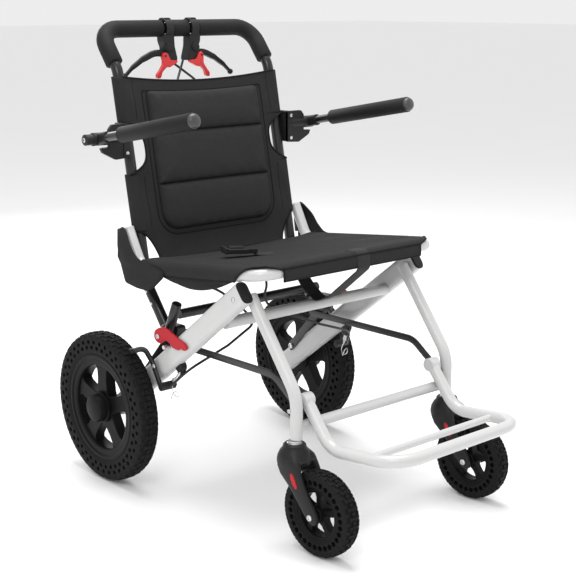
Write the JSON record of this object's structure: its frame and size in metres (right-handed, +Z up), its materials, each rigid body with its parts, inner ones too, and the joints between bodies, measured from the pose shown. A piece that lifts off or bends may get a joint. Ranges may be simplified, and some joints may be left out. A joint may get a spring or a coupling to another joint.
{
  "type": "transport wheelchair",
  "caption": "Folding transport wheelchair with oval side beams, a reclined back with push handle and brake levers, lift-up armrests, swivel casters and a fold-up footrest.",
  "frame": {"origin": "middle of the footprint on the ground", "axes": "+Z up, the chair faces -Y, the user's right side is -X"},
  "size_m": [0.601, 0.8519, 0.897],
  "materials": {
    "white_powder_coat": "gloss powder coat",
    "black_powder_coat": "gloss powder coat",
    "black_plastic": "moulded, slightly rough",
    "foam": "closed-cell foam",
    "charcoal_fabric": "woven polyester",
    "webbing": "woven webbing",
    "tyre_rubber": "solid rubber",
    "cable_sheath": "smooth sheath",
    "steel": "zinc plated",
    "red_plastic": "moulded",
    "dark_red_plastic": "moulded"
  },
  "bodies": {
    "frame": {"beam_right": "white_powder_coat", "beam_left": "white_powder_coat", "beam_plug_right": "black_plastic", "beam_plug_left": "black_plastic", "latch_pin_right": "steel", "latch_pin_left": "steel", "cross_tube": "white_powder_coat", "seat_frame": "white_powder_coat", "seat_fabric": "charcoal_fabric", "side_guard_right": "charcoal_fabric", "side_guard_left": "charcoal_fabric", "pull_loop": "webbing", "belt_buckle": "black_plastic", "rear_axle_right": "steel", "rear_axle_left": "steel", "brake_cable_right": "cable_sheath", "brake_cable_left": "cable_sheath"},
    "fold_arms": {"fold_arm_right": "black_powder_coat", "fold_arm_left": "black_powder_coat"},
    "backrest": {"back_frame": "black_powder_coat", "handle_grip_right": "foam", "handle_grip_left": "foam", "handle_grip_middle": "foam", "back_fabric": "charcoal_fabric", "back_knuckle_right": "black_powder_coat", "back_knuckle_left": "black_powder_coat", "back_cross_tube": "black_powder_coat", "armrest_bracket_right": "black_plastic", "armrest_bracket_left": "black_plastic", "brake_clamp_right": "black_plastic", "brake_clamp_left": "black_plastic"},
    "latch": {"latch_hook_right": "dark_red_plastic", "latch_hook_left": "dark_red_plastic", "latch_shaft": "black_powder_coat"},
    "legs": {"front_leg_right": "white_powder_coat", "front_leg_left": "white_powder_coat", "leg_cross_tube": "white_powder_coat"},
    "links": {"fold_link_right": "black_powder_coat", "fold_link_left": "black_powder_coat"},
    "footrest": {"footrest": "white_powder_coat"},
    "armrest_right": {"armrest_tube_right": "black_powder_coat", "armrest_pad_right": "foam"},
    "brake_lever_right": {"brake_lever_right": "black_plastic"},
    "brake_lock_right": {"brake_lock_right": "red_plastic"},
    "brake_arm_right": {"brake_arm_right": "black_powder_coat"},
    "caster_fork_right": {"caster_fork_right": "black_powder_coat"},
    "caster_wheel_right": {"caster_rim_right": "black_plastic", "caster_tyre_right": "tyre_rubber"},
    "rear_wheel_right": {"rear_rim_right": "black_plastic", "rear_tyre_right": "tyre_rubber"},
    "armrest_left": {"armrest_tube_left": "black_powder_coat", "armrest_pad_left": "foam"},
    "brake_lever_left": {"brake_lever_left": "black_plastic"},
    "brake_lock_left": {"brake_lock_left": "red_plastic"},
    "brake_arm_left": {"brake_arm_left": "black_powder_coat"},
    "caster_fork_left": {"caster_fork_left": "black_powder_coat"},
    "caster_wheel_left": {"caster_rim_left": "black_plastic", "caster_tyre_left": "tyre_rubber"},
    "rear_wheel_left": {"rear_rim_left": "black_plastic", "rear_tyre_left": "tyre_rubber"}
  },
  "joints": [
    {"name": "fold_arm_pivot", "type": "hinge", "parent": "frame", "child": "fold_arms", "pos_m": [0, 0.249, 0.192], "axis": [-1, 0, 0], "range_deg": [0, 70.1]},
    {"name": "backrest_fold", "type": "hinge", "parent": "fold_arms", "child": "backrest", "pos_m": [0, 0.161, 0.288], "axis": [1, 0, 0], "range_deg": [0, 108.7], "deforming": ["brake_cable_right", "brake_cable_left"]},
    {"name": "latch_lift", "type": "hinge", "parent": "backrest", "child": "latch", "pos_m": [0, 0.136, 0.315], "axis": [-1, 0, 0], "range_deg": [0, 30]},
    {"name": "leg_fold", "type": "hinge", "parent": "frame", "child": "legs", "pos_m": [0, -0.086, 0.427], "axis": [1, 0, 0], "range_deg": [0, 42.4]},
    {"name": "link_ankle", "type": "hinge", "parent": "legs", "child": "links", "pos_m": [0, -0.204, 0.237], "axis": [-1, 0, 0], "range_deg": [0, 34.5]},
    {"name": "footrest_fold", "type": "hinge", "parent": "legs", "child": "footrest", "pos_m": [0, -0.197, 0.256], "axis": [-1, 0, 0], "range_deg": [0, 95]},
    {"name": "armrest_lift_right", "type": "hinge", "parent": "backrest", "child": "armrest_right", "pos_m": [-0.2655, 0.271, 0.677], "axis": [-1, 0, 0], "range_deg": [0, 90]},
    {"name": "brake_squeeze_right", "type": "hinge", "parent": "backrest", "child": "brake_lever_right", "pos_m": [-0.0455, 0.37264, 0.832], "axis": [0, 1, 0], "range_deg": [0, 18], "stiffness_Nm_per_rad": 0.3, "springref_deg": -17.19},
    {"name": "lock_swing_right", "type": "hinge", "parent": "backrest", "child": "brake_lock_right", "pos_m": [-0.036, 0.36684, 0.812], "axis": [0, 1, 0], "range_deg": [0, 20]},
    {"name": "brake_press_right", "type": "hinge", "parent": "frame", "child": "brake_arm_right", "pos_m": [-0.2406, 0.148, 0.2535], "axis": [-1, 0, 0], "range_deg": [0, 1.1]},
    {"name": "caster_swivel_right", "type": "hinge", "parent": "legs", "child": "caster_fork_right", "pos_m": [-0.1975, -0.206, 0.16], "axis": [0, 0, 1], "continuous": true},
    {"name": "caster_spin_right", "type": "hinge", "parent": "caster_fork_right", "child": "caster_wheel_right", "pos_m": [-0.19304, -0.26984, 0.077], "axis": [0.9976, 0.0698, 0], "continuous": true},
    {"name": "rear_spin_right", "type": "hinge", "parent": "frame", "child": "rear_wheel_right", "pos_m": [-0.2625, 0.276, 0.15], "axis": [1, 0, 0], "continuous": true},
    {"name": "armrest_lift_left", "type": "hinge", "parent": "backrest", "child": "armrest_left", "pos_m": [0.2655, 0.271, 0.677], "axis": [-1, 0, 0], "range_deg": [0, 90]},
    {"name": "brake_squeeze_left", "type": "hinge", "parent": "backrest", "child": "brake_lever_left", "pos_m": [0.0455, 0.37264, 0.832], "axis": [0, -1, 0], "range_deg": [0, 18], "stiffness_Nm_per_rad": 0.3, "springref_deg": -17.19},
    {"name": "lock_swing_left", "type": "hinge", "parent": "backrest", "child": "brake_lock_left", "pos_m": [0.036, 0.36684, 0.812], "axis": [0, -1, 0], "range_deg": [0, 20]},
    {"name": "brake_press_left", "type": "hinge", "parent": "frame", "child": "brake_arm_left", "pos_m": [0.2406, 0.148, 0.2535], "axis": [-1, 0, 0], "range_deg": [0, 1.1]},
    {"name": "caster_swivel_left", "type": "hinge", "parent": "legs", "child": "caster_fork_left", "pos_m": [0.1975, -0.206, 0.16], "axis": [0, 0, 1], "continuous": true},
    {"name": "caster_spin_left", "type": "hinge", "parent": "caster_fork_left", "child": "caster_wheel_left", "pos_m": [0.20196, -0.26984, 0.077], "axis": [0.9976, 0.0698, 0], "continuous": true},
    {"name": "rear_spin_left", "type": "hinge", "parent": "frame", "child": "rear_wheel_left", "pos_m": [0.2625, 0.276, 0.15], "axis": [1, 0, 0], "continuous": true}
  ],
  "couplings": [
    {"joint": "fold_arm_pivot", "follows": "backrest_fold", "ratio": 0.64397},
    {"joint": "leg_fold", "follows": "backrest_fold", "ratio": 0.38914},
    {"joint": "link_ankle", "follows": "backrest_fold", "ratio": 0.31647},
    {"joint": "brake_press_right", "follows": "brake_squeeze_right", "ratio": 0.061},
    {"joint": "brake_press_left", "follows": "brake_squeeze_left", "ratio": 0.061}
  ]
}
